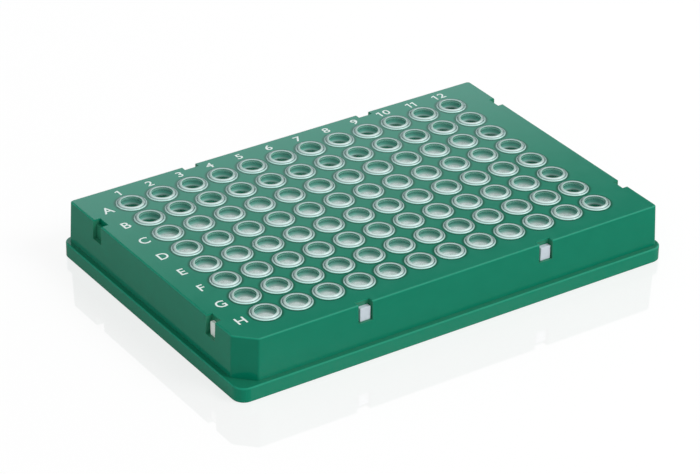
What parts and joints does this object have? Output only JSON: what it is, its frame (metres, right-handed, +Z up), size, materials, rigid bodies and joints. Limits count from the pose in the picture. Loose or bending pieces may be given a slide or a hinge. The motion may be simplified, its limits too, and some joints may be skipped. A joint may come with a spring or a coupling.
{
  "type": "pcr well plate",
  "caption": "Skirted plate for thermal cyclers: a rigid frame with a notched skirt and a keyed corner, holding a clear moulding of tapered thin-walled wells in a grid.",
  "frame": {"origin": "middle of the footprint, on the plane of the bench", "axes": "+X along the rows from column 1 to column 12, +Y from row H to row A, +Z up out of the wells"},
  "size_m": [0.1278, 0.0854, 0.0159],
  "materials": {
    "frame_green": "satin moulded polycarbonate",
    "well_clear": "clear natural polypropylene, slightly milky"
  },
  "bodies": {
    "root": {"frame": "frame_green", "wells": "well_clear"}
  },
  "joints": []
}
